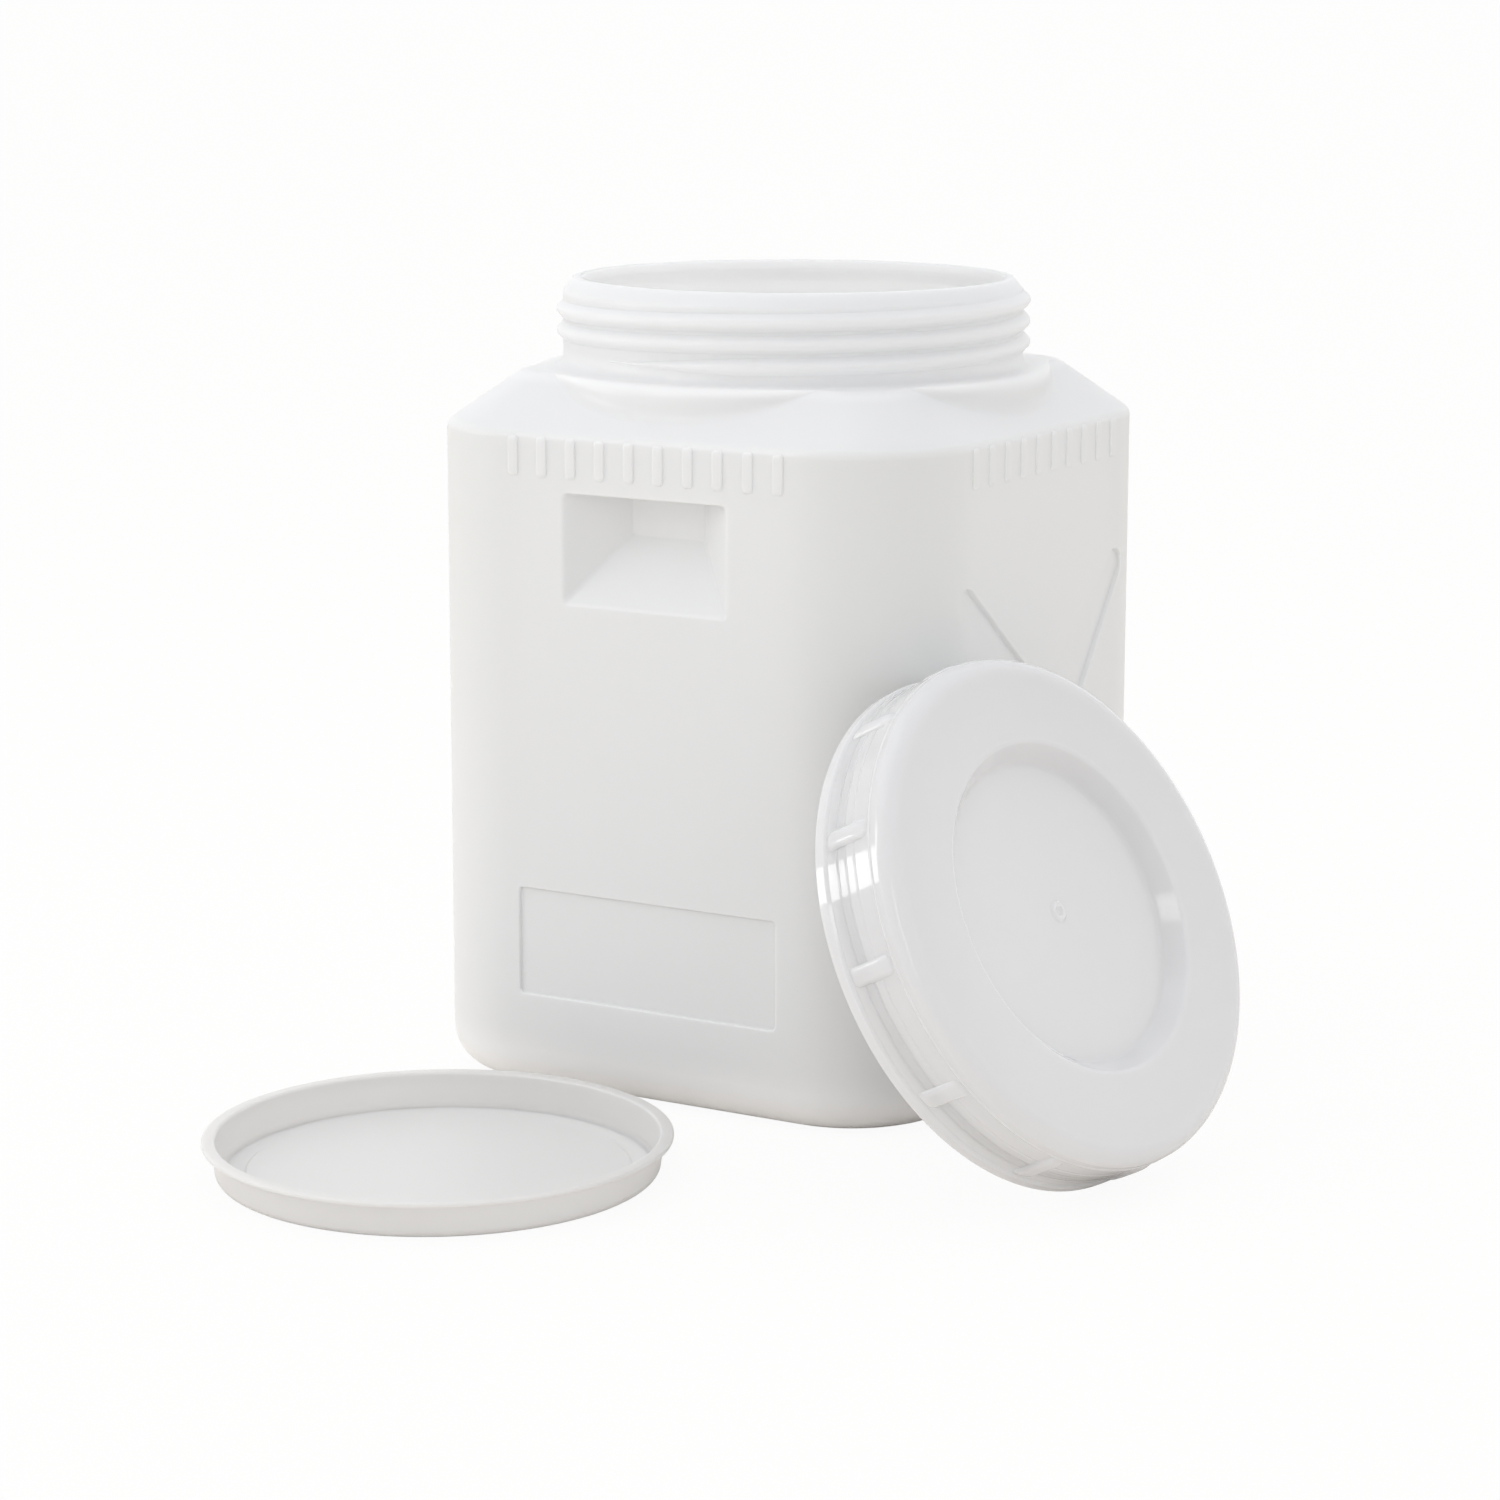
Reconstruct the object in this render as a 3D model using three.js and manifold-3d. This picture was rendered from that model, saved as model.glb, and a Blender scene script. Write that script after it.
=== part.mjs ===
// Square fermentation container with a wide screw neck, an inner lid and a screw cap.
// Millimetres, +Z up. The origin is on the jar's axis, on the surface that the container stands on.
// The -Y face carries a grip pocket and the label panel; the +X face carries the cross-shaped panel.
import * as THREE from 'three';
import { mergeVertices } from 'three/addons/utils/BufferGeometryUtils.js';
import Module from 'manifold-3d';

// Jar body: a rounded square, blow moulded with an even wall
const bodyWidth = 247;
const bodyCornerRadius = 54;
const bodyWallHeight = 285;
const bodyWall = 2.4;
const baseRounding = 18;
const shoulderEdgeRounding = 5;
const shoulderRise = 22;
const shoulderInset = 32;

// Base: pushed up in the middle so that the jar stands on its rim
const basePushUp = 2;
const baseStandWidth = 26;
const basePushSlope = 5;

// Neck: a round boss cuts the four slopes of the shoulder, and the threaded neck stands on it
const bossLedge = 12;
const bossDepth = 26;
const bossEdge = 7;
const neckSetback = 23.5;
const neckHeight = 38;
const neckWall = 4;
const neckFootFillet = 5;
const lipWidth = 8.5;
const lipInsideHeight = 5;
const lipInsideSlope = 5;
const lipFlatWidth = 3;
const lipOutsideHeight = 7;

// Thread: single start, right hand, on the neck and inside the cap
const threadPitch = 9.1;
const threadHeight = 3;
const threadFootWidth = 6.6;
const threadCrestWidth = 1.8;
const threadRunoutAngle = 35;
const threadRoot = 1;
const threadClearance = 0.8;
const neckThreadTurns = 2.5;
const neckThreadFoot = 6.8;
const neckThreadStartAngle = -110;
const capThreadTurns = 1.5;
const capThreadFoot = 6;
const capThreadStartAngle = 40;

// Stiffening ribs along the top of each face
const ribSpacing = 14.3;
const ribWidth = 6.4;
const ribHeight = 1;
const ribLength = 14;
const ribDrop = 3;
const ribRounding = 1.2;
const ribSink = 1;

// Grip pockets in the -Y and +Y faces
const gripWidth = 80;
const gripHeight = 47;
const gripTop = 261;
const gripDepth = 20;
const gripBackWidth = 36;
const gripBackHeight = 17;
const gripCeilingSlope = 1.5;
const gripCornerRadius = 6;
const gripBackCornerRadius = 4;

// Label panel in the -Y face
const labelMargin = 6;
const labelHeight = 46.5;
const labelBottom = 43.2;
const labelDepth = 1.4;
const labelCornerRadius = 2;

// Cross-shaped panels in the +X and -X faces
const crossCentreHeight = 150;
const crossTipRadius = 7.1;
const crossNotchDistance = 25;
const crossDepth = 2;

// Inner lid
const lidRimWidth = 3.5;
const lidRimThickness = 2;
const lidRimRounding = 1;
const lidDepth = 16;
const lidWall = 1.6;
const lidDraft = 1.6;
const lidFootRounding = 4;
const lidMouthClearance = 0.5;
const lidStepInset = 11.4;
const lidStepHeight = 0.8;
const lidAwayX = -25;
const lidAwayGap = 22;

// Screw cap
const capHeight = 38;
const capSkirtWall = 3.2;
const capBandHeight = 6;
const capBandStep = 1.2;
const capShoulderHeight = 11;
const capShoulderInset = 12;
const capTopThickness = 2.4;
const capRingWidth = 25;
const capSinkSlope = 7;
const capSinkDepth = 8.5;
const capGripRibs = 12;
const capGripRibWidth = 5;
const capGripRibHeight = 2;
const capGripRibRounding = 1.2;
const capGateRadius = 3;
const capGateHeight = 0.7;

// The cap stands on its skirt's edge and leans on the jar
const capLeanAngle = 26.6;
const capTurnAngle = -8.9;
const capStandY = -113.7;
const restGap = 0.35;

// One overrun for every cut
const overrun = 3;

// The least corner radius that an inset outline keeps, and the distance at which points are one
const cornerLeast = 2;
const weldDistance = 0.0005;

// Facets
const cornerSteps = 9;
const roundSteps = 60;
const arcSteps = 3;
const ribCornerSteps = 1;
const smallSteps = 2;
const threadStepAngle = 10;

const wasm = await Module();
wasm.setup();

const halfBody = bodyWidth / 2;
const shoulderTop = bodyWallHeight + shoulderRise;
const lipTop = shoulderTop + neckHeight;
const halfFlat = halfBody - bodyCornerRadius;
const neckRadius = halfBody - neckSetback;
const neckBore = neckRadius - neckWall;
const mouthRadius = neckRadius - lipWidth;
const bossRadius = neckRadius + bossLedge;
const jarFloor = basePushUp + bodyWall;
const capInnerRadius = neckRadius + threadHeight + threadClearance;
const capRadius = capInnerRadius + capSkirtWall;
const capSkirtRadius = capRadius - capBandStep;
const lidRimRadius = mouthRadius + lidRimWidth;
const upright = new THREE.Vector3(0, 0, 1);

// Closed geometry to solid, with its faces turned outwards
function solid(geometry) {
  const shape = geometry.clone();
  shape.deleteAttribute('normal');
  shape.deleteAttribute('uv');
  const merged = mergeVertices(shape, weldDistance);
  const vertProperties = new Float32Array(merged.attributes.position.array);
  const triVerts = new Uint32Array(merged.index.array);
  const a = new THREE.Vector3();
  const b = new THREE.Vector3();
  const c = new THREE.Vector3();
  const kept = [];
  let volume = 0;
  for (let i = 0; i < triVerts.length; i += 3) {
    const [p, q, r] = [triVerts[i], triVerts[i + 1], triVerts[i + 2]];
    if (p === q || q === r || r === p) continue;
    kept.push(p, q, r);
    a.fromArray(vertProperties, 3 * p);
    b.fromArray(vertProperties, 3 * q);
    c.fromArray(vertProperties, 3 * r);
    volume += a.dot(b.cross(c));
  }
  if (volume < 0) kept.reverse();
  return new wasm.Manifold(new wasm.Mesh({ numProp: 3, vertProperties, triVerts: new Uint32Array(kept) }));
}

// Solid back to geometry, with flat shading
function geometryOf(body) {
  const mesh = body.getMesh();
  const geometry = new THREE.BufferGeometry();
  geometry.setAttribute('position', new THREE.BufferAttribute(new Float32Array(mesh.vertProperties), 3));
  geometry.setIndex(new THREE.BufferAttribute(new Uint32Array(mesh.triVerts), 1));
  geometry.computeVertexNormals();
  return geometry;
}

function unite(solids) {
  return solids.reduce((all, next) => all.add(next));
}

function cut(body, tools) {
  return tools.reduce((rest, tool) => rest.subtract(tool), body);
}

// Rounded rectangle about a centre, counter-clockwise
function roundedOutline(halfWidth, halfHeight, radius, steps, centre = new THREE.Vector2()) {
  const points = [];
  [[1, 1], [-1, 1], [-1, -1], [1, -1]].forEach(([sideX, sideY], quarter) => {
    for (let i = 0; i <= steps; i += 1) {
      const angle = (quarter + i / steps) * Math.PI / 2;
      const x = sideX * (halfWidth - radius) + radius * Math.cos(angle);
      const y = sideY * (halfHeight - radius) + radius * Math.sin(angle);
      points.push(new THREE.Vector2(x, y).add(centre));
    }
  });
  return points;
}

// Closed body through a row of rings with equal numbers of points
function loft(rings) {
  const count = rings[0].length;
  const positions = rings.flatMap((ring) => ring.flatMap((point) => point.toArray()));
  const index = [];
  for (let k = 0; k + 1 < rings.length; k += 1) {
    for (let i = 0; i < count; i += 1) {
      const next = (i + 1) % count;
      const [a, b, c, d] = [k * count + i, k * count + next, (k + 1) * count + next, (k + 1) * count + i];
      index.push(a, b, c, a, c, d);
    }
  }
  [[0, true], [rings.length - 1, false]].forEach(([k, first]) => {
    const middle = rings[k].reduce((sum, point) => sum.add(point), new THREE.Vector3()).divideScalar(count);
    const m = positions.length / 3;
    positions.push(...middle.toArray());
    for (let i = 0; i < count; i += 1) {
      const [a, b] = [k * count + i, k * count + (i + 1) % count];
      if (first) index.push(m, b, a);
      else index.push(m, a, b);
    }
  });
  const geometry = new THREE.BufferGeometry();
  geometry.setAttribute('position', new THREE.Float32BufferAttribute(positions, 3));
  geometry.setIndex(index);
  return geometry;
}

// Revolves a profile of radius and height about the upright axis
function revolve(profile) {
  return new THREE.LatheGeometry(profile, roundSteps).rotateX(Math.PI / 2);
}

function bend(from, corner, to, steps = arcSteps) {
  return new THREE.QuadraticBezierCurve(from, corner, to).getPoints(steps);
}

function at(radius, height) {
  return new THREE.Vector2(radius, height);
}

// A pad or pocket on the -Y side: outlines of width and height at distances from the axis
function sidePad(levels) {
  return solid(loft(levels.map(([distance, outline]) => (
    outline.map((point) => new THREE.Vector3(point.x, -distance, point.y))
  ))));
}

// The same piece on another side, turned about the upright axis
function turned(body, angle) {
  return body.rotate([0, 0, angle]);
}

// One start of right-hand screw thread; the crest lies outside or inside the surface that carries it
function screwThread(surface, crest, foot, turns, startAngle) {
  const away = Math.sign(crest - surface);
  const count = Math.round(turns * 360 / threadStepAngle);
  const rings = [];
  for (let i = 0; i <= count; i += 1) {
    const swept = i * threadStepAngle;
    const toEnd = Math.min(swept, (count - i) * threadStepAngle);
    const grown = THREE.MathUtils.smoothstep(toEnd, 0, threadRunoutAngle);
    const root = surface - away * threadRoot;
    const tip = THREE.MathUtils.lerp(surface - away * threadRoot / 2, crest, grown);
    const height = foot + threadPitch * swept / 360;
    const angle = THREE.MathUtils.degToRad(startAngle + swept);
    const section = [
      at(root, -threadFootWidth / 2),
      at(tip, -threadCrestWidth / 2),
      at(tip, threadCrestWidth / 2),
      at(root, threadFootWidth / 2),
    ];
    rings.push(section.map((point) => (
      new THREE.Vector3(point.x * Math.cos(angle), point.x * Math.sin(angle), height + point.y)
    )));
  }
  return solid(loft(rings));
}

// Body of the jar drawn in by an offset: the outside at 0, the inside at the wall
function bodyForm(offset, bottom) {
  const slope = shoulderRise / shoulderInset;
  const slant = Math.hypot(1, slope);
  const rounding = baseRounding - offset;
  const edgeHeight = bodyWallHeight + offset * slope - offset * slant;
  const topHeight = shoulderTop - offset;
  const topInset = (topHeight - bodyWallHeight + offset * slant) / slope;
  const profile = [];
  for (let i = 0; i <= arcSteps; i += 1) {
    const angle = i / arcSteps * Math.PI / 2;
    profile.push(at(offset + rounding * (1 - Math.sin(angle)), bottom + rounding * (1 - Math.cos(angle))));
  }
  profile.push(...bend(
    at(offset, edgeHeight - shoulderEdgeRounding),
    at(offset, edgeHeight),
    at(offset + shoulderEdgeRounding / slant, edgeHeight + shoulderEdgeRounding * slope / slant),
  ));
  profile.push(at(topInset, topHeight));
  return solid(loft(profile.map((point) => {
    const half = halfBody - point.x;
    const radius = Math.max(bodyCornerRadius - point.x, cornerLeast);
    return roundedOutline(half, half, radius, cornerSteps).map((p) => new THREE.Vector3(p.x, p.y, point.y));
  })));
}

// Middle of the base, pushed up between the four sides of the standing rim
function basePush() {
  const rimInset = baseRounding + baseStandWidth;
  const levels = [[rimInset, -overrun], [rimInset, 0], [rimInset + basePushSlope, basePushUp]];
  return solid(loft(levels.map(([inset, height]) => {
    const half = halfBody - inset;
    const radius = Math.max(bodyCornerRadius - inset, cornerLeast);
    return roundedOutline(half, half, radius, cornerSteps).map((p) => new THREE.Vector3(p.x, p.y, height));
  })));
}

// Round boss under the neck, drawn in by an offset
function bossForm(offset) {
  const top = shoulderTop - offset;
  const radius = bossRadius - offset;
  const bottom = shoulderTop - bossDepth;
  return solid(revolve([
    at(0, bottom), at(radius, bottom),
    ...bend(at(radius, top - bossEdge), at(radius, top), at(radius - bossEdge, top)),
    at(0, top),
  ]));
}

function neckForm() {
  const bottom = shoulderTop - bodyWall;
  const foot = neckRadius + neckFootFillet;
  return solid(revolve([
    at(0, bottom), at(foot, bottom),
    ...bend(
      at(foot, shoulderTop), at(neckRadius, shoulderTop),
      at(neckRadius, shoulderTop + neckFootFillet),
    ),
    ...bend(
      at(neckRadius, lipTop - lipOutsideHeight), at(neckRadius, lipTop),
      at(mouthRadius + lipFlatWidth, lipTop),
    ),
    at(0, lipTop),
  ]));
}

function neckHole() {
  const bottom = shoulderTop - bodyWall - overrun;
  return solid(revolve([
    at(0, bottom), at(neckBore, bottom),
    at(neckBore, lipTop - lipInsideHeight - lipInsideSlope),
    at(mouthRadius, lipTop - lipInsideHeight),
    at(mouthRadius, lipTop + overrun),
    at(0, lipTop + overrun),
  ]));
}

function jarRib(place) {
  const centre = at(place, bodyWallHeight - ribDrop - ribLength / 2);
  const outline = (inset) => roundedOutline(
    ribWidth / 2 - inset, ribLength / 2 - inset, ribRounding, ribCornerSteps, centre,
  );
  return sidePad([
    [halfBody - ribSink, outline(0)],
    [halfBody + ribHeight - ribRounding / 2, outline(0)],
    [halfBody + ribHeight, outline(ribRounding / 2)],
  ]);
}

function ribRow() {
  const ribCount = Math.floor((2 * halfFlat - ribWidth) / ribSpacing) + 1;
  const ribs = [];
  for (let i = 0; i < ribCount; i += 1) ribs.push(jarRib((i - (ribCount - 1) / 2) * ribSpacing));
  return unite(ribs);
}

// Grip pocket: a flat ceiling for the fingers, drawn-in sides and a long sloping floor
function gripPocket(grow) {
  const backTop = gripTop - gripCeilingSlope;
  const backBottom = backTop - gripBackHeight;
  const openBottom = gripTop - gripHeight;
  const level = (depth) => {
    const share = depth / gripDepth;
    const top = THREE.MathUtils.lerp(gripTop, backTop, share);
    const bottom = THREE.MathUtils.lerp(openBottom, backBottom, share);
    const half = THREE.MathUtils.lerp(gripWidth, gripBackWidth, share) / 2;
    const radius = THREE.MathUtils.lerp(gripCornerRadius, gripBackCornerRadius, Math.max(share, 0));
    const middle = at(0, (top + bottom) / 2);
    return roundedOutline(half + grow, (top - bottom) / 2 + grow, radius, arcSteps, middle);
  };
  return sidePad([
    [halfBody - gripDepth - grow, level(gripDepth)],
    [halfBody + overrun, level(-overrun)],
  ]);
}

function labelPanel(grow) {
  const centre = at(0, labelBottom + labelHeight / 2);
  const outline = roundedOutline(
    halfFlat - labelMargin + grow, labelHeight / 2 + grow, labelCornerRadius + grow, smallSteps, centre,
  );
  return sidePad([[halfBody - labelDepth - grow, outline], [halfBody + overrun, outline]]);
}

// Cross-shaped panel with four tapering arms
function crossPanel(grow) {
  const outline = [];
  for (let arm = 0; arm < 4; arm += 1) {
    const notchAngle = arm * Math.PI / 2;
    const armAngle = notchAngle + Math.PI / 4;
    outline.push(at(crossNotchDistance + grow, 0).rotateAround(at(0, 0), notchAngle));
    const tipCentre = at(Math.hypot(halfFlat, halfFlat), 0).rotateAround(at(0, 0), armAngle);
    for (let i = 0; i <= 2 * arcSteps; i += 1) {
      const angle = armAngle + (i / (2 * arcSteps) - 1 / 2) * Math.PI;
      outline.push(at(crossTipRadius + grow, 0).rotateAround(at(0, 0), angle).add(tipCentre));
    }
  }
  const raised = outline.map((point) => point.clone().add(at(0, crossCentreHeight)));
  return sidePad([[halfBody - crossDepth - grow, raised], [halfBody + overrun, raised]]);
}

function jarSolid() {
  const hollow = cut(unite([bodyForm(bodyWall, jarFloor), bossForm(bodyWall), neckHole()]), [
    gripPocket(bodyWall), turned(gripPocket(bodyWall), 180),
    turned(crossPanel(bodyWall), 90), turned(crossPanel(bodyWall), -90),
    labelPanel(bodyWall),
  ]);
  const threadFoot = shoulderTop + neckThreadFoot;
  const thread = screwThread(
    neckRadius, neckRadius + threadHeight, threadFoot, neckThreadTurns, neckThreadStartAngle,
  );
  const row = ribRow();
  const outside = unite([
    bodyForm(0, 0), bossForm(0), neckForm(), thread,
    row, turned(row, 90), turned(row, 180), turned(row, -90),
  ]);
  return cut(outside, [
    basePush(), gripPocket(0), turned(gripPocket(0), 180),
    turned(crossPanel(0), 90), turned(crossPanel(0), -90), labelPanel(0), hollow,
  ]);
}

// Inner lid: its flange lies on the lip and its dish hangs in the mouth
function innerLidSolid() {
  const top = mouthRadius - lidMouthClearance;
  const foot = top - lidDraft;
  const flangeBottom = lidDepth - lidRimThickness;
  return solid(revolve([
    at(0, 0),
    ...bend(at(foot - lidFootRounding, 0), at(foot, 0), at(foot, lidFootRounding)),
    at(top, flangeBottom),
    at(lidRimRadius, flangeBottom),
    ...bend(
      at(lidRimRadius, lidDepth - lidRimRounding), at(lidRimRadius, lidDepth),
      at(lidRimRadius - lidRimRounding, lidDepth), smallSteps,
    ),
    at(top - lidWall, lidDepth),
    ...bend(
      at(foot - lidWall, lidFootRounding), at(foot - lidWall, lidWall), at(foot - lidFootRounding, lidWall),
    ),
    at(foot - lidStepInset, lidWall),
    at(foot - lidStepInset - lidStepHeight, lidWall + lidStepHeight),
    at(0, lidWall + lidStepHeight),
  ]));
}

function capShell() {
  const skirt = capSkirtRadius;
  const shoulder = capHeight - capShoulderHeight;
  const sinkRadius = skirt - capShoulderInset - capRingWidth;
  const sinkFloorRadius = sinkRadius - capSinkSlope;
  const under = capHeight - capTopThickness;
  const sinkFloor = capHeight - capSinkDepth;
  const sinkUnder = sinkFloor - capTopThickness;
  return solid(revolve([
    at(0, sinkUnder),
    at(sinkFloorRadius + capTopThickness / 2, sinkUnder),
    at(sinkRadius + capTopThickness, under),
    ...bend(
      at(capInnerRadius - capShoulderInset, under), at(capInnerRadius, under), at(capInnerRadius, shoulder),
    ),
    at(capInnerRadius, 0),
    at(capRadius, 0),
    at(capRadius, capBandHeight - capBandStep),
    at(skirt, capBandHeight),
    ...bend(
      at(skirt, shoulder), at(skirt, capHeight), at(skirt - capShoulderInset, capHeight), 2 * arcSteps,
    ),
    at(sinkRadius, capHeight),
    at(sinkFloorRadius, sinkFloor),
    at(capGateRadius, sinkFloor),
    at(capGateRadius, sinkFloor + capGateHeight),
    at(0, sinkFloor + capGateHeight),
  ]));
}

function capGripRib(angle) {
  const bottom = capBandHeight - capBandStep;
  const top = capHeight - capShoulderHeight;
  const centre = at(0, (bottom + top) / 2);
  const outline = (inset) => roundedOutline(
    capGripRibWidth / 2 - inset, (top - bottom) / 2 - inset, capGripRibRounding, ribCornerSteps, centre,
  );
  return turned(sidePad([
    [capSkirtRadius - capSkirtWall / 2, outline(0)],
    [capSkirtRadius + capGripRibHeight - capGripRibRounding / 2, outline(0)],
    [capSkirtRadius + capGripRibHeight, outline(capGripRibRounding / 2)],
  ]), angle);
}

function capSolid() {
  const thread = screwThread(
    capInnerRadius, neckRadius + threadClearance, capThreadFoot, capThreadTurns, capThreadStartAngle,
  );
  const ribs = [];
  for (let i = 0; i < capGripRibs; i += 1) ribs.push(capGripRib(i * 360 / capGripRibs));
  return unite([capShell(), thread, ...ribs]);
}

// How the cap stands: on the edge of its skirt, tipped back until the edge meets the jar
const capTurn = new THREE.Euler(
  0, THREE.MathUtils.degToRad(90 - capLeanAngle), THREE.MathUtils.degToRad(capTurnAngle), 'ZYX',
);

function capStandX() {
  const straight = halfBody - bodyCornerRadius;
  const rounded = bodyCornerRadius + restGap;
  let reach = 0;
  for (let angle = 0; angle < 360; angle += 1) {
    const rim = new THREE.Vector3(capRadius, 0, 0);
    rim.applyAxisAngle(upright, THREE.MathUtils.degToRad(angle)).applyEuler(capTurn);
    const past = Math.abs(rim.y + capStandY) - straight;
    if (past >= rounded) continue;
    const side = past <= 0 ? straight + rounded : straight + Math.sqrt(rounded ** 2 - past ** 2);
    reach = Math.max(reach, side - rim.x);
  }
  return reach;
}

function named(name, body, color, roughness) {
  const material = new THREE.MeshStandardMaterial({ color, roughness, metalness: 0, flatShading: true });
  const mesh = new THREE.Mesh(geometryOf(body), material);
  mesh.name = name;
  return mesh;
}

const container = new THREE.Group();

const jarBody = named('jar_body', jarSolid(), 0xe4e4e4, 0.45);
container.add(jarBody);

const innerLid = named('inner_lid', innerLidSolid(), 0xdcdcdc, 0.5);
innerLid.position.set(lidAwayX, -(halfBody + lidAwayGap + lidRimRadius), 0);
container.add(innerLid);

const screwCap = named('screw_cap', capSolid(), 0xe2e2e2, 0.35);
screwCap.rotation.copy(capTurn);
screwCap.position.set(capStandX(), capStandY, capRadius * Math.cos(THREE.MathUtils.degToRad(capLeanAngle)));
container.add(screwCap);

export default container;
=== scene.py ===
# %% [markdown]
# # A fermentation container in natural white plastic
# The real thing is three mouldings: a blown square jar with a wide threaded neck, a thin dished
# inner lid, and a big screw cap with twelve grip bars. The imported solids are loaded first. They
# fix every size and place, and each piece made below stands for its solid with a finer surface.

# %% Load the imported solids
import math

import bmesh
import bpy
from mathutils import Matrix, Vector
from mathutils.bvhtree import BVHTree


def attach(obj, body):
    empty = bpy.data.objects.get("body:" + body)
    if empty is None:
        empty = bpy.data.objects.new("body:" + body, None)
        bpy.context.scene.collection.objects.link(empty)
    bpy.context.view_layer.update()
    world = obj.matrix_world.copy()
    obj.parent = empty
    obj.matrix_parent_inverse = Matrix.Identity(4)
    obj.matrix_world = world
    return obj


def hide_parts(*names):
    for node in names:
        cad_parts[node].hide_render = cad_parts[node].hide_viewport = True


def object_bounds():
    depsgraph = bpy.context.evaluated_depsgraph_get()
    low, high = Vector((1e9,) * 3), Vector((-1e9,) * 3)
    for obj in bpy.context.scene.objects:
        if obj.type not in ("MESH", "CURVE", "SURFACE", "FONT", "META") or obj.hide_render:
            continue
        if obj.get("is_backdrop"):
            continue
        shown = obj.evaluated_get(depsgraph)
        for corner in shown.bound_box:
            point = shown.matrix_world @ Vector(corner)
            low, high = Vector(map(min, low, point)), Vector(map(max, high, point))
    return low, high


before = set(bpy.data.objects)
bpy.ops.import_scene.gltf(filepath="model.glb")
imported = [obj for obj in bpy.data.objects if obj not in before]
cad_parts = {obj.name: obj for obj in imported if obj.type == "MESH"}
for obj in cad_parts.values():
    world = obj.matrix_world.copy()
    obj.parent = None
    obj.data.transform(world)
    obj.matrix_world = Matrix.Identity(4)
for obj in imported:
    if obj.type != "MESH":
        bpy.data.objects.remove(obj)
solid_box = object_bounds()
mm = 0.001
scene = bpy.context.scene
print("solids", [tuple(round(v, 4) for v in corner) for corner in solid_box])

# %% [markdown]
# ## Sizes
# The sizes are those of the solids, in millimetres, so that each fine piece fills the same space.
# A few small roundings are added, because the light shows them and the solids leave them out. The
# jar's main sizes come first, because its finish reads them too. The sizes of its threads, ribs and
# panels, and those of the lid and the cap, stand where these are made.

# %% Sizes of the jar
body_width = 247
body_corner = 54
wall_height = 285
body_wall = 2.4
base_rounding = 18
shoulder_rounding = 5
shoulder_rise = 22
shoulder_inset = 32
push_up = 2
stand_width = 26
push_slope = 5
neck_radius = 100
boss_radius = 112
boss_depth = 26
boss_edge = 7
boss_crease = 4
neck_fillet = 5
neck_height = 38
neck_bore = 96
mouth_radius = 91.5
half_body = body_width / 2
half_flat = half_body - body_corner
shoulder_slope = shoulder_rise / shoulder_inset
shoulder_top = wall_height + shoulder_rise
lip_top = shoulder_top + neck_height
print("jar", body_width, "mm square,", lip_top, "mm high")

# %% [markdown]
# ## Camera
# The camera was fitted to the photograph's outlines. It stands about 1.8 m off the jar, 30 degrees
# round to the right, and looks down by 11 degrees through a long lens, so uprights stay upright.

# %% Camera
picture_width = 1500
focal_length = 4066
camera = bpy.data.objects.new("camera", bpy.data.cameras.new("camera"))
scene.collection.objects.link(camera)
scene.camera = camera
camera.data.sensor_width = 36
camera.data.lens = focal_length / picture_width * camera.data.sensor_width
camera.data.clip_end = 200
forward = Vector((-0.4995, 0.8444, -0.1935)).normalized()
right = forward.cross(Vector((0, 0, 1))).normalized()
up = right.cross(forward)
turn = Matrix((right, up, -forward)).transposed() @ Matrix.Rotation(0.0014, 3, "Z")
camera.location = Vector((886.2, -1534.6, 484.4)) * mm
camera.rotation_mode = "QUATERNION"
camera.rotation_quaternion = turn.to_quaternion()
print("lens", round(camera.data.lens, 1), "mm")

# %% [markdown]
# ## Nodes in short calls
# Finishes and shapes below are both built from nodes. Placing and linking them one line at a time
# hides what they do, so a few helpers add a node with its inputs, do sums and blend values.

# %% Add a node, do a sum
def put(tree, slot, value):
    """Fills an input with a number, a colour or the output of another node."""
    if hasattr(value, "links"):
        tree.links.new(value, slot)
    elif slot.type == "RGBA":
        slot.default_value = (*value, 1)
    else:
        slot.default_value = value


def add(tree, kind, inputs=None, **settings):
    """Adds a node with these settings and with inputs given by name or number."""
    node = tree.nodes.new(kind)
    for name, value in settings.items():
        setattr(node, name, value)
    for name, value in (inputs or {}).items():
        put(tree, node.inputs[name], value)
    return node


def maths(tree, operation, a, b=0.0):
    """One Math node; a and b are numbers or outputs."""
    return add(tree, "ShaderNodeMath", {0: a, 1: b}, operation=operation).outputs[0]


# %% Change smoothly, blend two values
def between(tree, value, start, end, first=0.0, last=1.0):
    """A smooth change from first to last while the value goes from start to end."""
    return add(tree, "ShaderNodeMapRange", {
        "Value": value, "From Min": start, "From Max": end, "To Min": first, "To Max": last,
    }, interpolation_type="SMOOTHSTEP").outputs["Result"]


def blend(tree, share, first, second, kind="RGBA"):
    """The first colour, or number, where the share is 0 and the second where it is 1."""
    node = add(tree, "ShaderNodeMix", {0: share}, data_type=kind)
    slot, result = {"RGBA": (6, 2), "FLOAT": (2, 0)}[kind]
    put(tree, node.inputs[slot], first)
    put(tree, node.inputs[slot + 1], second)
    return node.outputs[result]


# %% Start and end a material
def shader(name):
    """A new material with an empty node tree."""
    material = bpy.data.materials.new(name)
    material.use_nodes = True
    material.node_tree.nodes.clear()
    return material, material.node_tree


def show(tree, surface):
    """Puts a shader on the surface."""
    add(tree, "ShaderNodeOutputMaterial", {"Surface": surface.outputs[0]})


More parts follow.
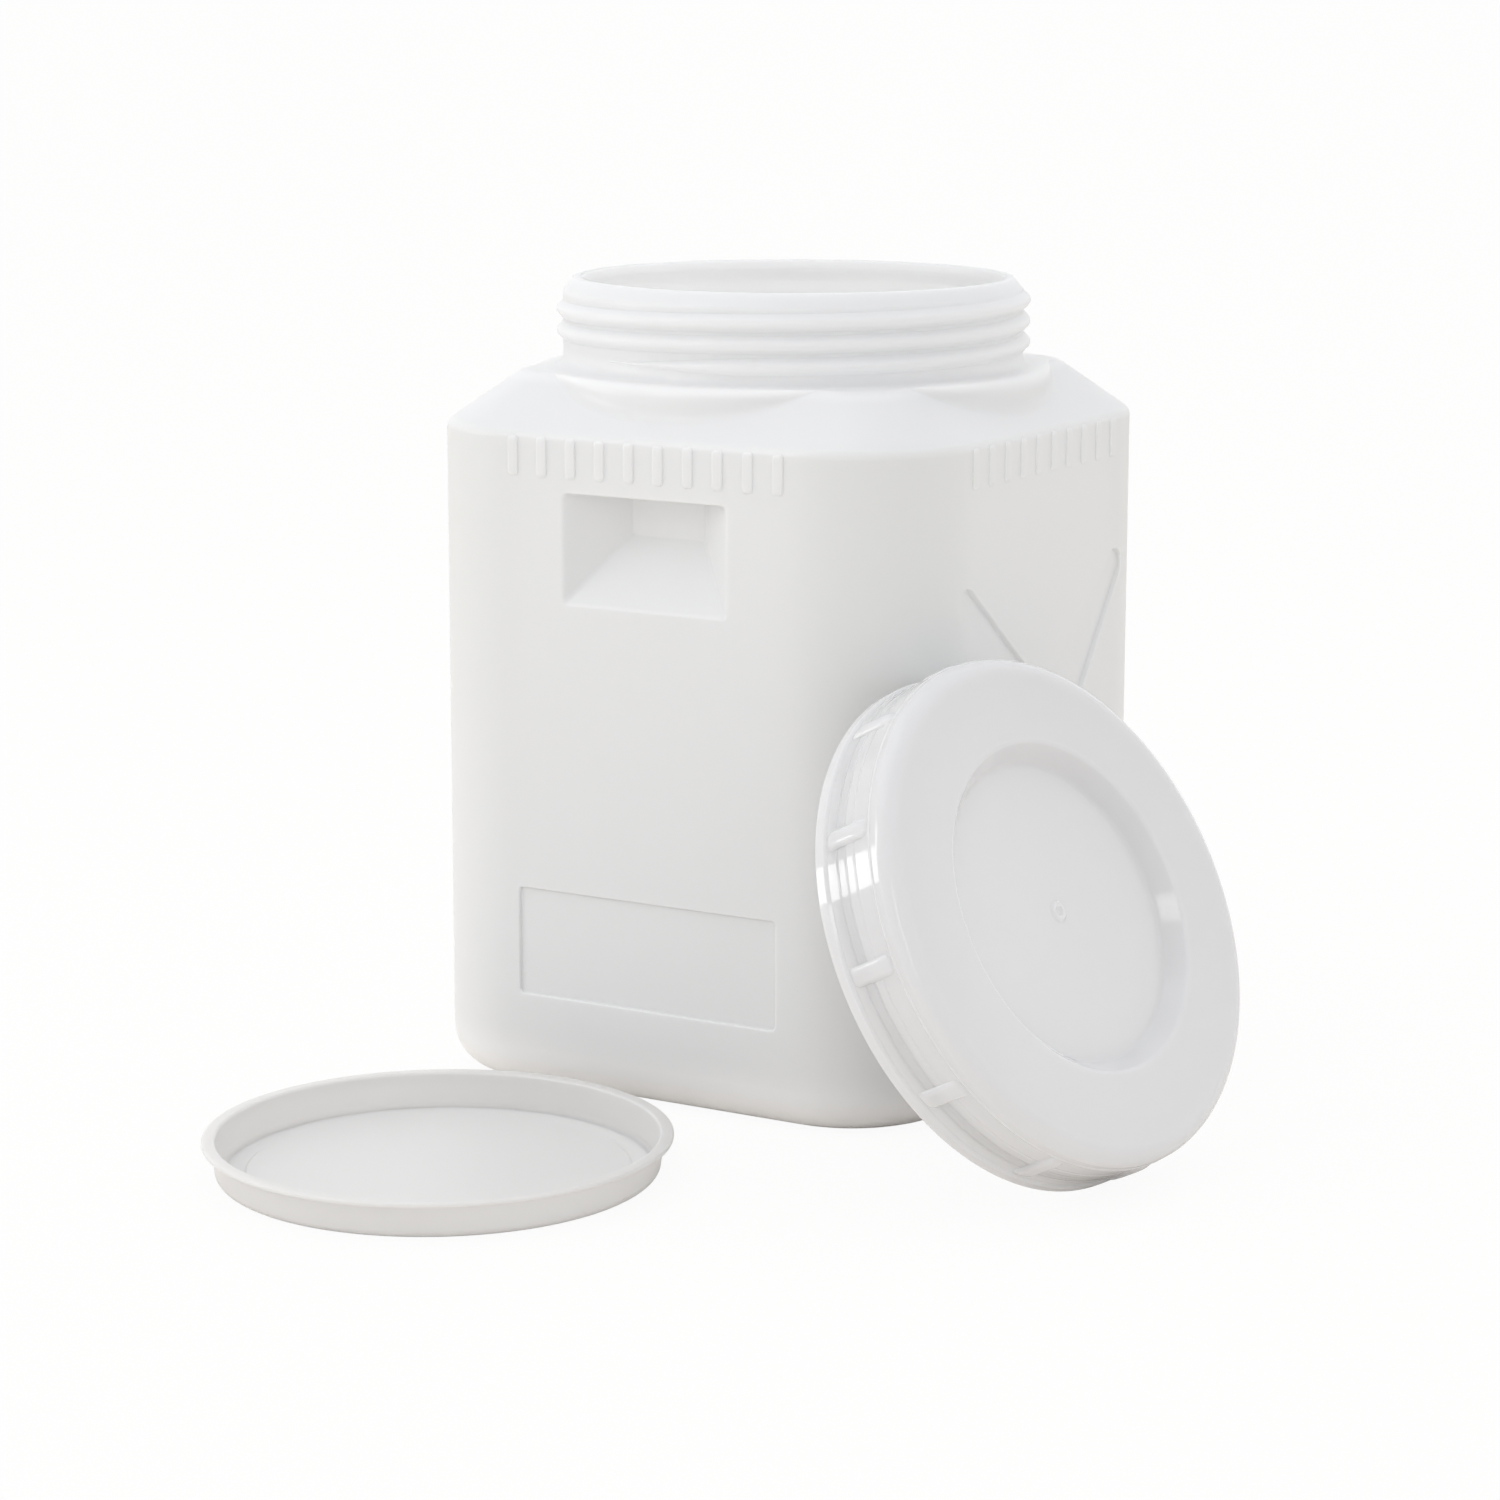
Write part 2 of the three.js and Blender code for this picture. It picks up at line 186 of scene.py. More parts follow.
# %% [markdown]
# ## Floor and backdrop
# The photograph is a white sweep. A curved sheet could stand behind the jar, but it would show an
# edge in other views, so one wide floor runs to the horizon and the world goes on from there. Both
# are white where the camera meets them, and the floor keeps a little of its own shading, so that a
# faint contact shadow stays.

# %% Floor
def seen_directly(tree, others):
    """1 for camera rays and the other kinds named, 0 for the rest."""
    path = add(tree, "ShaderNodeLightPath")
    total = path.outputs["Is Camera Ray"]
    for other in others:
        total = maths(tree, "MAXIMUM", total, path.outputs[other])
    return total


floor_size = 120
floor_white = 0.93
floor_material, tree = shader("white sweep")
matt = add(tree, "ShaderNodeBsdfDiffuse", {"Color": (0.96, 0.92, 0.87)})
white = add(tree, "ShaderNodeEmission", {"Strength": 1.0})
share = maths(tree, "MULTIPLY", seen_directly(tree, ["Is Transmission Ray"]), floor_white)
show(tree, add(tree, "ShaderNodeMixShader", {0: share, 1: matt.outputs[0], 2: white.outputs[0]}))
bpy.ops.mesh.primitive_plane_add(size=floor_size)
floor = bpy.context.object
floor.name = "floor"
floor.data.materials.append(floor_material)
floor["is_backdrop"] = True
print("floor", floor_size, "m wide")

# %% [markdown]
# ## Light
# A pale room lights the jar from all round, dimmer from the front right and below, which gives
# the soft tones of the two sides. A large softbox above, one in front and a strip on the right
# model the forms. A low lamp on the left is the window that the glossy cap shows.

# %% World
bright_side, dim_side = 0.98, 0.62
world = bpy.data.worlds.new("studio")
scene.world = world
world.use_nodes = True
tree = world.node_tree
background = tree.nodes["Background"]
way = add(tree, "ShaderNodeTexCoord").outputs["Generated"]
dim_way = (0.42, -0.66, -0.62)
towards = add(tree, "ShaderNodeVectorMath", {0: way, 1: dim_way}, operation="DOT_PRODUCT")
room = between(tree, towards.outputs["Value"], -1.0, 1.0, bright_side, dim_side)
seen = seen_directly(tree, ["Is Glossy Ray", "Is Transmission Ray"])
put(tree, background.inputs["Strength"], blend(tree, seen, room, 1.0, "FLOAT"))
put(tree, background.inputs["Color"], blend(tree, seen, (0.975, 0.982, 1), (1, 1, 0.995)))
scene.view_settings.view_transform = "Standard"
print("world", len(tree.nodes), "nodes")


# %% Lamps
def soft_lamp(name, place, aim, width, height, watts, lean=0):
    """A softbox that looks at a point and leans sideways by some degrees."""
    lamp = bpy.data.objects.new(name, bpy.data.lights.new(name, "AREA"))
    scene.collection.objects.link(lamp)
    lamp.location = place
    facing = (Vector(aim) - Vector(place)).to_track_quat("-Z", "Y").to_matrix()
    lamp.rotation_euler = (facing @ Matrix.Rotation(math.radians(lean), 3, "Z")).to_euler()
    lamp.data.shape = "RECTANGLE"
    lamp.data.size = width
    lamp.data.size_y = height
    lamp.data.energy = watts


soft_lamp("top softbox", (-0.3, -0.4, 2.0), (0, 0, 0.2), width=1.2, height=1.2, watts=2)
soft_lamp("front softbox", (-1.0, -1.6, 1.5), (0, 0, 0.25), width=0.35, height=1.0, watts=3.9)
soft_lamp("right strip", (1.15, -2.0, 1.15), (0.2, -0.1, 0.12), width=0.15, height=1.6, watts=2.2)
soft_lamp(
    "window", (-1.82, -1.07, 0.6), (0.15, -0.21, 0.13), width=0.5, height=0.3, watts=2.4, lean=-38,
)

# %% [markdown]
# ## Plastic finishes
# Natural polyethylene is milky: light goes in and comes out a few millimetres further on, which
# softens edges and shadows. Real see-through plastic would need many bounces of light, while
# subsurface scattering gives the milky look at once. The blown jar has a satin skin with a very
# fine grain, and the moulded cap is glossier. Noise in Object coordinates varies the roughness and
# a slight bump, because no moulded skin is perfectly even.

# %% A milky plastic
def milky_plastic(name, colour, roughness, grain, grain_depth, wave_depth, scatter):
    """Roughness drifts between two values, with grain and slow waves; sizes in millimetres."""
    material, tree = shader(name)
    place = add(tree, "ShaderNodeTexCoord").outputs["Object"]
    cloud = add(tree, "ShaderNodeTexNoise", {"Vector": place, "Scale": 14, "Detail": 3})
    skin = add(tree, "ShaderNodeTexNoise", {"Vector": place, "Scale": grain, "Detail": 2})
    drift = add(tree, "ShaderNodeMapRange", {
        "Value": cloud.outputs["Fac"], "To Min": roughness[0], "To Max": roughness[1],
    })
    fine = add(tree, "ShaderNodeBump", {
        "Height": skin.outputs["Fac"], "Distance": grain_depth * mm, "Strength": 0.5,
    })
    wave = add(tree, "ShaderNodeBump", {
        "Height": cloud.outputs["Fac"], "Distance": wave_depth * mm, "Strength": 0.5,
        "Normal": fine.outputs["Normal"],
    })
    show(tree, add(tree, "ShaderNodeBsdfPrincipled", {
        "Base Color": colour, "Roughness": drift.outputs["Result"], "IOR": 1.5,
        "Normal": wave.outputs["Normal"], "Subsurface Weight": 1.0,
        "Subsurface Radius": (1.0, 0.99, 0.97), "Subsurface Scale": scatter * mm,
    }))
    return material


# %% The three finishes
jar_white = (0.845, 0.85, 0.851)
jar_scatter = 2.5
jar_plastic = milky_plastic(
    "natural blown plastic", jar_white, (0.29, 0.36), 900, 0.015, 0.5, jar_scatter,
)
lid_plastic = milky_plastic(
    "natural moulded plastic", (0.71, 0.702, 0.692), (0.3, 0.38), 1100, 0.015, 0.1, 8,
)
cap_plastic = milky_plastic(
    "glossy cap plastic", (0.775, 0.777, 0.787), (0.05, 0.07), 1300, 0.005, 0.08, 6,
)
print("finishes", [m.name for m in (jar_plastic, lid_plastic, cap_plastic)])

# %% [markdown]
# ## Painted light and shade on the jar
# Some of the jar's colour is painted light and shade. The upper corners are darker: painted shade,
# where the room is dim towards the front. The shoulder's tint is set for the top light on its
# slopes, and the neck is a little darker: painted shade against the extra light that reaches it.
# The neck's foot and the base are lighter: painted light in the crease under the neck and where the
# floor shades the base. A painted map could hold this, but the places follow plain rules, so they
# are read from Object coordinates: height for the shoulder, neck and base, and distance from the
# middle for the corners. The hollow is lit through the wall. Its faces carry a mark named inside,
# made further down, and light goes further where that mark is 1.

# %% Masks by place
tree = jar_plastic.node_tree
plastic = next(n for n in tree.nodes if n.type == "BSDF_PRINCIPLED")
place = next(n for n in tree.nodes if n.type == "TEX_COORD")
x, y, height = add(tree, "ShaderNodeSeparateXYZ", {0: place.outputs["Object"]}).outputs
spread = maths(tree, "ADD", maths(tree, "ABSOLUTE", x), maths(tree, "ABSOLUTE", y))


def at_height(start, end):
    """0 to 1 between two heights in millimetres."""
    return between(tree, height, start * mm, end * mm)


# painted shade: the upper corners are darker, where the room is dim towards the front
corners = maths(tree, "MULTIPLY", between(tree, spread, 0.175, 0.21), at_height(100, 220))
# painted light and shade: the shoulder's tint is set for how the top light falls on its slopes
shoulder_painted_tone = at_height(wall_height - 3, wall_height + 6)
# painted shade: the neck is a little darker against the extra light that reaches it; the wider
# scatter it also sets is the plastic's own
neck_painted_shade_and_scatter = at_height(shoulder_top - 4, shoulder_top + 4)
# painted light: the neck's foot is lighter, where the crease under the neck is in shade
neck_foot_painted_light = maths(
    tree, "MULTIPLY", at_height(shoulder_top - 5, shoulder_top),
    at_height(shoulder_top + 9, shoulder_top + 3),
)
# painted light: the base is lighter, where the floor shades it
base = at_height(30, 0)

# %% Painted light and shade, and depth of the light
colour = jar_white
# the painted light and shade tints are blended into the jar's white one after another
for share, tint in (
    (corners, (0.82, 0.826, 0.818)), (shoulder_painted_tone, (0.85, 0.853, 0.856)),
    (neck_painted_shade_and_scatter, (0.835, 0.842, 0.85)), (neck_foot_painted_light, (0.93, 0.935, 0.94)), (base, (0.995, 0.99, 0.985)),
):
    colour = blend(tree, share, colour, tint)
put(tree, plastic.inputs["Base Color"], colour)
neck_scatter, hollow_scatter = 8, 80
inside = add(tree, "ShaderNodeAttribute", attribute_name="inside")
lit_through = maths(tree, "MULTIPLY", inside.outputs["Fac"], at_height(4, 12))
put(tree, plastic.inputs["Subsurface Scale"], maths(
    tree, "MAXIMUM",
    between(tree, lit_through, 0.0, 1.0, jar_scatter * mm, hollow_scatter * mm),
    between(tree, neck_painted_shade_and_scatter, 0.0, 1.0, jar_scatter * mm, neck_scatter * mm),
))
print("jar finish", len(tree.nodes), "nodes")

# %% [markdown]
# ## Outlines and closed skins
# Each moulding is drawn the way its mould is cut: as sections with rounded corners. Bevels on a
# box would be quicker, but their roundings run into each other where the sizes differ. `rounded`
# turns corners with radii into a smooth outline, and `loft` skins a stack of outlines. Solids are
# then joined and cut, and the result is one closed skin.

# %% Rounded outline
def rounded(corners, closed=False, step=12):
    """Points of an outline whose corners (x, y, radius) are rounded by arcs."""
    points = []
    count = len(corners)
    for i, (x, y, radius) in enumerate(corners):
        here = Vector((x, y))
        if radius <= 0 or not closed and i in (0, count - 1):
            points.append(here)
            continue
        before = (Vector(corners[i - 1][:2]) - here).normalized()
        after = (Vector(corners[(i + 1) % count][:2]) - here).normalized()
        opening = before.angle(after)
        reach = radius / math.tan(opening / 2)
        centre = here + (before + after).normalized() * radius / math.sin(opening / 2)
        start, end = here + before * reach - centre, here + after * reach - centre
        sweep = start.angle(end)
        steps = max(2, math.ceil(math.degrees(sweep) / step - 0.01))
        for k in range(steps + 1):
            share = k / steps
            part = start * math.sin((1 - share) * sweep) + end * math.sin(share * sweep)
            points.append(centre + part / math.sin(sweep))
    return points


def rounded_box(half_width, top, bottom, corner, step=12):
    """Rounded rectangle between two heights, or in plan."""
    return rounded([
        (half_width, bottom, corner), (half_width, top, corner),
        (-half_width, top, corner), (-half_width, bottom, corner),
    ], True, step)


# %% Skin a stack of outlines
def piece(name, points, faces):
    """An object whose closed mesh has these points, in millimetres, and faces turned outwards."""
    mesh = bpy.data.meshes.new(name)
    mesh.from_pydata([Vector(p) * mm for p in points], [], faces)
    work = bmesh.new()
    work.from_mesh(mesh)
    bmesh.ops.remove_doubles(work, verts=work.verts, dist=1e-6)
    bmesh.ops.recalc_face_normals(work, faces=work.faces)
    work.to_mesh(mesh)
    work.free()
    obj = bpy.data.objects.new(name, mesh)
    scene.collection.objects.link(obj)
    return obj


def loft(name, rings):
    """A closed skin through rings with equal numbers of points, capped at both ends."""
    count = len(rings[0])
    assert all(len(ring) == count for ring in rings), name
    points = [p for ring in rings for p in ring]
    faces = []
    for k in range(len(rings) - 1):
        low, high = k * count, (k + 1) * count
        for i in range(count):
            j = (i + 1) % count
            faces.append((low + i, low + j, high + j, high + i))
    faces.append(tuple(reversed(range(count))))
    faces.append(tuple(range((len(rings) - 1) * count, len(rings) * count)))
    return piece(name, points, faces)


# %% Join, cut and turn solids
def plain(obj):
    """The object's evaluated shape becomes its own mesh, and its modifiers go."""
    shape = obj.evaluated_get(bpy.context.evaluated_depsgraph_get())
    mesh = bpy.data.meshes.new_from_object(shape)
    obj.modifiers.clear()
    obj.data = mesh


def combine(base, tools, operation):
    """Adds the tools to the base, or takes them away, as solids."""
    for tool in tools:
        step = base.modifiers.new("combine", "BOOLEAN")
        step.solver = "MANIFOLD"
        step.operation = operation
        step.object = tool
    plain(base)
    for tool in tools:
        bpy.data.objects.remove(tool)
    return base


def turned(obj, degrees):
    """A copy of the object turned about the upright axis."""
    copy = bpy.data.objects.new(obj.name + "_turned", obj.data.copy())
    copy.data.transform(Matrix.Rotation(math.radians(degrees), 4, "Z"))
    scene.collection.objects.link(copy)
    return copy


# %% Measure and finish
def measured(obj):
    """Prints the box of a piece in millimetres."""
    corners = [Vector(c) / mm for c in obj.bound_box]
    low, high = ([round(f(c[k] for c in corners), 1) for k in range(3)] for f in (min, max))
    print(obj.name, low, high)


def smooth_skin(obj, material, sharp=38):
    """Flat faces stay flat and roundings shade smoothly; then the plastic goes on."""
    mesh = obj.data
    work = bmesh.new()
    work.from_mesh(mesh)
    bmesh.ops.remove_doubles(work, verts=work.verts, dist=2e-6)
    bmesh.ops.dissolve_limit(
        work, angle_limit=math.radians(0.3), verts=work.verts, edges=work.edges,
    )
    work.to_mesh(mesh)
    work.free()
    mesh.shade_smooth()
    mesh.set_sharp_from_angle(angle=math.radians(sharp))
    weigh = obj.modifiers.new("even normals", "WEIGHTED_NORMAL")
    weigh.keep_sharp = True
    plain(obj)
    obj.data.materials.clear()
    obj.data.materials.append(material)
    print(obj.name, sum(len(p.vertices) - 2 for p in obj.data.polygons), "triangles")


# %% [markdown]
# ## Trees for what follows a rule
# The cap, the inner lid and the bores are turned, the screw thread follows a helix, and the ribs
# repeat along a line or a ring. Each is one rule with a few sizes, so Geometry Nodes trees make
# them: change an input and the piece follows. Each tree ends in Realize Instances and Set
# Material, and its result is kept as a plain mesh, which is then joined to what carries it.

# %% Start, fill and end a tree
def new_tree(name, **inputs):
    """A geometry tree with named number inputs, a material input and one geometry output."""
    tree = bpy.data.node_groups.new(name, "GeometryNodeTree")
    tree.interface.new_socket("Geometry", in_out="OUTPUT", socket_type="NodeSocketGeometry")
    for label, value in inputs.items():
        kind = "NodeSocketInt" if isinstance(value, int) else "NodeSocketFloat"
        label = label.replace("_", " ")
        socket = tree.interface.new_socket(label, in_out="INPUT", socket_type=kind)
        socket.default_value = value
    tree.interface.new_socket("Material", in_out="INPUT", socket_type="NodeSocketMaterial")
    return tree, tree.nodes.new("NodeGroupInput").outputs


def vector(tree, x=0.0, y=0.0, z=0.0):
    """A Combine XYZ node; each part is a number or an output."""
    return add(tree, "ShaderNodeCombineXYZ", {0: x, 1: y, 2: z}).outputs[0]


def end_tree(tree, geometry, material):
    """Realize Instances and Set Material close every tree."""
    real = add(tree, "GeometryNodeRealizeInstances", {0: geometry.outputs[0]})
    paint = add(tree, "GeometryNodeSetMaterial", {
        "Geometry": real.outputs[0], "Material": material,
    })
    add(tree, "NodeGroupOutput", {0: paint.outputs[0]})
    print("tree", tree.name, len(tree.nodes), "nodes")
    return tree


# %% Run a tree
def grow(name, tree, material, line=(), **values):
    """Runs a tree with these values on a line of points and keeps the result as a plain mesh."""
    mesh = bpy.data.meshes.new(name)
    edges = [(i, i + 1) for i in range(len(line) - 1)]
    mesh.from_pydata([Vector(p) * mm for p in line], edges, [])
    obj = bpy.data.objects.new(name, mesh)
    scene.collection.objects.link(obj)
    step = obj.modifiers.new(name, "NODES")
    step.node_group = tree
    for item in tree.interface.items_tree:
        label = item.name.replace(" ", "_")
        if item.in_out == "INPUT" and label in values:
            step[item.identifier] = values[label]
        elif item.in_out == "INPUT" and item.name == "Material":
            step[item.identifier] = material
    plain(obj)
    return obj


# %% [markdown]
# ## Turned pieces
# A round moulding is its profile turned about the axis. The Spin tool would do, but it keeps no
# sizes, so a tree sweeps the profile round a small circle. The profile's ends lie on the axis,
# where their points are welded into one, so both poles are closed.

# %% Tree of a turned piece
def turned_tree():
    """A profile line swept round the upright axis; its ends lie on the axis and are welded."""
    tree, given = new_tree("turned piece", Facets=240, Path_radius=0.05)
    profile = tree.interface.new_socket(
        "Profile", in_out="INPUT", socket_type="NodeSocketGeometry",
    )
    tree.interface.move(profile, 0)
    line = add(tree, "GeometryNodeMeshToCurve", {0: given["Profile"]})
    back = vector(tree, x=maths(tree, "MULTIPLY", given["Path radius"], -1.0))
    shift = add(tree, "GeometryNodeTransform", {
        "Geometry": line.outputs[0], "Translation": back,
    })
    path = add(tree, "GeometryNodeCurvePrimitiveCircle", {
        "Resolution": given["Facets"], "Radius": given["Path radius"],
    })
    sweep = add(tree, "GeometryNodeCurveToMesh", {
        "Curve": path.outputs[0], "Profile Curve": shift.outputs[0],
    })
    weld = add(tree, "GeometryNodeMergeByDistance", {
        "Geometry": sweep.outputs[0], "Distance": 1e-6,
    })
    return end_tree(tree, weld, given["Material"])


turned_piece = turned_tree()


# %% Turn a profile
def lathe(name, profile, facets=180):
    """A closed body from a profile of (radius, height) that starts and ends on the axis."""
    line = [(radius, -height, 0) for radius, height in profile]
    obj = grow(name, turned_piece, None, line, Facets=facets)
    work = bmesh.new()
    work.from_mesh(obj.data)
    bmesh.ops.recalc_face_normals(work, faces=work.faces)
    work.to_mesh(obj.data)
    work.free()
    return obj


# %% [markdown]
# ## Screw thread
# The thread is a rounded ridge that climbs by one pitch a turn and fades out at both ends, so that
# cap and neck find each other. A stack of rings would look alike from afar but could not screw.
# The ridge's section is a bell curve, made full at the crest by a power below 1.

# %% Sizes of both threads
thread_pitch = 9.1
thread_height = 3
thread_sunk = 0.4
thread_ridge = 8.6
thread_fullness = 0.6
thread_runout = 0.12
print("threads", thread_height, "mm high, one turn every", thread_pitch, "mm")


# %% Tree of a screw thread
def thread_tree():
    """A rounded ridge swept along a right-hand helix; it fades into the wall at both ends."""
    tree, given = new_tree(
        "screw thread", Radius=0.1, Pitch=0.0091, Turns=2.5, Start_height=0.0, Start_angle=0.0,
        Depth=0.004, Sink=0.0005, Foot_width=0.008, Fullness=0.6, Runout_turns=0.1, Outward=1.0,
    )
    helix = add(tree, "GeometryNodeCurveSpiral", {
        "Resolution": 120, "Reverse": True, "Rotations": given["Turns"],
        "Start Radius": given["Radius"], "End Radius": given["Radius"],
        "Height": maths(tree, "MULTIPLY", given["Turns"], given["Pitch"]),
    })
    upright = add(tree, "GeometryNodeSetCurveNormal", {"Curve": helix.outputs[0]}, mode="Z_UP")
    line = add(tree, "GeometryNodeCurvePrimitiveLine", {
        "Start": vector(tree, y=maths(tree, "MULTIPLY", given["Foot width"], -0.5)),
        "End": vector(tree, y=maths(tree, "MULTIPLY", given["Foot width"], 0.5)),
    })
    fine = add(tree, "GeometryNodeResampleCurve", {"Curve": line.outputs[0], "Count": 23})
    across = add(tree, "GeometryNodeSplineParameter").outputs["Factor"]
    angle = maths(tree, "MULTIPLY", maths(tree, "SUBTRACT", across, 0.5), 2 * math.pi)
    bell = maths(tree, "MULTIPLY", maths(tree, "ADD", maths(tree, "COSINE", angle), 1.0), 0.5)
    bell = maths(tree, "POWER", bell, given["Fullness"])
    raised = maths(tree, "SUBTRACT", maths(tree, "MULTIPLY", bell, given["Depth"]), given["Sink"])
    shape = add(tree, "GeometryNodeSetPosition", {
        "Geometry": fine.outputs[0],
        "Offset": vector(tree, x=maths(tree, "MULTIPLY", raised, given["Outward"])),
    })
    section = add(tree, "GeometryNodeSetSplineCyclic", {
        "Geometry": shape.outputs[0], "Cyclic": True,
    })
    along = add(tree, "GeometryNodeSplineParameter").outputs["Factor"]
    ends = maths(tree, "MINIMUM", along, maths(tree, "SUBTRACT", 1.0, along))
    turns_in = maths(tree, "MULTIPLY", ends, given["Turns"])
    share = maths(tree, "DIVIDE", turns_in, given["Runout turns"])
    sweep = add(tree, "GeometryNodeCurveToMesh", {
        "Curve": upright.outputs[0], "Profile Curve": section.outputs[0], "Fill Caps": True,
        "Scale": between(tree, share, 0.0, 1.0, 0.12),
    })
    stand = add(tree, "GeometryNodeTransform", {
        "Geometry": sweep.outputs[0], "Translation": vector(tree, z=given["Start height"]),
        "Rotation": vector(tree, z=given["Start angle"]),
    })
    return end_tree(tree, stand, given["Material"])


screw_thread = thread_tree()


# %% Cut a thread
def thread(name, material, radius, turns, foot, start, outward=1.0):
    """A ridge on a wall of this radius, outwards on the neck and inwards in the cap."""
    ridge = grow(
        name, screw_thread, material, Radius=radius * mm, Pitch=thread_pitch * mm, Turns=turns,
        Start_height=foot * mm, Start_angle=math.radians(start), Outward=outward,
        Depth=(thread_height + thread_sunk) * mm, Sink=thread_sunk * mm,
        Foot_width=thread_ridge * mm, Fullness=thread_fullness, Runout_turns=thread_runout,
    )
    measured(ridge)
    return ridge


# %% [markdown]
# ## Rows and rings of ribs
# Ten short ribs stiffen the top of each side, and twelve bars round the cap give the hand a hold.
# An Array modifier could set out either, but one tree does both: instances on a line of points,
# each turned about the axis by a step that is zero for a row.

# %% Tree of a row or a ring of ribs
def rib_tree():
    """Domed bars in a straight row, or round the axis when the ring step is not zero."""
    tree, given = new_tree(
        "rib row", Count=10, Spacing=0.0143, Width=0.0064, Length=0.014, Height=0.003,
        Rounding=0.001, Edge=0.0008, Distance=0.12, Middle_height=0.27, Ring_step=0.0,
    )
    outline = add(tree, "GeometryNodeCurvePrimitiveQuadrilateral", {
        "Width": given["Width"], "Height": given["Length"],
    })
    soft = add(tree, "GeometryNodeFilletCurve", {
        "Curve": outline.outputs[0], "Count": 4, "Limit Radius": True,
        "Radius": given["Rounding"],
    }, mode="POLY")
    rise = add(tree, "GeometryNodeCurvePrimitiveLine", {"End": vector(tree, z=given["Height"])})
    steps = add(tree, "GeometryNodeResampleCurve", {"Curve": rise.outputs[0], "Count": 24})
    along = add(tree, "GeometryNodeSplineParameter").outputs["Length"]
    left = maths(tree, "SUBTRACT", given["Height"], along)
    into = maths(tree, "SUBTRACT", 1.0, maths(tree, "DIVIDE", left, given["Edge"]))
    into = maths(tree, "MAXIMUM", into, 0.0)
    dome = maths(tree, "SUBTRACT", 1.0, maths(tree, "MULTIPLY", into, into))
    drawn = maths(tree, "SUBTRACT", 1.0, maths(tree, "SQRT", dome))
    drawn = maths(tree, "MULTIPLY", drawn, given["Edge"])
    half_width = maths(tree, "MULTIPLY", given["Width"], 0.5)
    bar = add(tree, "GeometryNodeCurveToMesh", {
        "Curve": steps.outputs[0], "Profile Curve": soft.outputs[0], "Fill Caps": True,
        "Scale": maths(tree, "SUBTRACT", 1.0, maths(tree, "DIVIDE", drawn, half_width)),
    })
    facing = add(tree, "GeometryNodeTransform", {
        "Geometry": bar.outputs[0], "Rotation": (math.pi / 2, 0, 0),
    })
    half = maths(tree, "MULTIPLY", maths(tree, "SUBTRACT", given["Count"], 1.0), -0.5)
    start = maths(tree, "MULTIPLY", half, given["Spacing"])
    out = maths(tree, "MULTIPLY", given["Distance"], -1.0)
    row = add(tree, "GeometryNodeMeshLine", {
        "Count": given["Count"], "Offset": vector(tree, x=given["Spacing"]),
        "Start Location": vector(tree, start, out, given["Middle height"]),
    })
    copies = add(tree, "GeometryNodeInstanceOnPoints", {
        "Points": row.outputs[0], "Instance": facing.outputs[0],
    })
    index = add(tree, "GeometryNodeInputIndex").outputs[0]
    ring = add(tree, "GeometryNodeRotateInstances", {
        "Instances": copies.outputs[0], "Local Space": False,
        "Rotation": vector(tree, z=maths(tree, "MULTIPLY", index, given["Ring step"])),
    })
    return end_tree(tree, ring, given["Material"])


rib_row = rib_tree()

# %% [markdown]
# ## The jar
# A blown jar is a hose of soft plastic pressed against a cold mould by air. Its wall is thin and
# even, so each sunk panel shows inside too. Solidify would thicken a skin, but it folds up in the
# narrow pockets. So the outside and the hollow are drawn by themselves, the hollow a wall further
# in, and the hollow is taken away last.

# %% Hollow of the body
def body_form(name, offset, bottom):
    """Rounded square body, drawn in by an offset from the outside."""
    slant = math.hypot(1, shoulder_slope)
    edge = wall_height + offset * shoulder_slope - offset * slant
    top = shoulder_top - offset
    top_inset = (top - wall_height + offset * slant) / shoulder_slope
    profile = rounded([
        (offset + base_rounding + 9, bottom, 0), (offset, bottom, base_rounding - offset),
        (offset, edge, shoulder_rounding), (top_inset, top, 0),
    ], step=8)
    rings = []
    for inset, height in profile:
        half, corner = half_body - inset, body_corner - inset
        plan = rounded([
            (half, half, corner), (-half, half, corner),
            (-half, -half, corner), (half, -half, corner),
        ], True, 3.75)
        rings.append([(x, y, height) for x, y in plan])
    return loft(name, rings)


def boss_form(name, offset):
    """Round boss under the neck."""
    top, radius = shoulder_top - offset, boss_radius - offset
    bottom = shoulder_top - boss_depth
    return lathe(name, rounded([
        (0, bottom, 0), (radius, bottom, 0), (radius, top, boss_edge), (0, top, 0),
    ]))


# %% [markdown]
# ## Sunk panels
# The grip pocket takes four fingers of a hand. The label panel takes a written label, left bare
# here, and the cross stiffens a plain side. In the mould each is a raised block with soft edges,
# so each is lofted as a cutter, from its floor out past the face. Grown by the wall and without
# its soft edges, the same cutter shapes the hollow behind it.

# %% Walls of a panel
overrun = 3


def edge_levels(depth, edge, foot, steps=4):
    """(depth, change of outline) of a wall with a rounded edge and a rounded foot."""
    angles = [i / steps * math.pi / 2 for i in range(steps + 1)]
    levels = [(depth - foot * (1 - math.cos(a)), -foot * (1 - math.sin(a))) for a in angles]
    return levels + [(edge * (1 - math.sin(a)), edge * (1 - math.cos(a))) for a in angles]


def panel_levels(depth, edge, foot, grown):
    """Levels from the floor to past the face: soft outside, plain for the hollow."""
    if grown:
        return [(depth + grown, 0), (-overrun, 0)]
    return edge_levels(depth, edge, foot) + [(-overrun, edge)]


def side_cutter(name, levels):
    """A cutter in the -Y side: outlines of width and height at depths below the face."""
    rings = [[(x, depth - half_body, z) for x, z in outline] for depth, outline in levels]
    return loft(name, rings)


# %% Grip pocket
grip_width = 80
grip_height = 47
grip_top = 261
grip_depth = 20
grip_back_width = 36
grip_back_height = 17
grip_ceiling_fall = 1.5
grip_edge, grip_foot = 0.8, 0.5
grip_corner, grip_back_corner = 2.2, 1.5
print("grip", grip_width, "x", grip_height, "mm,", grip_depth, "mm deep")


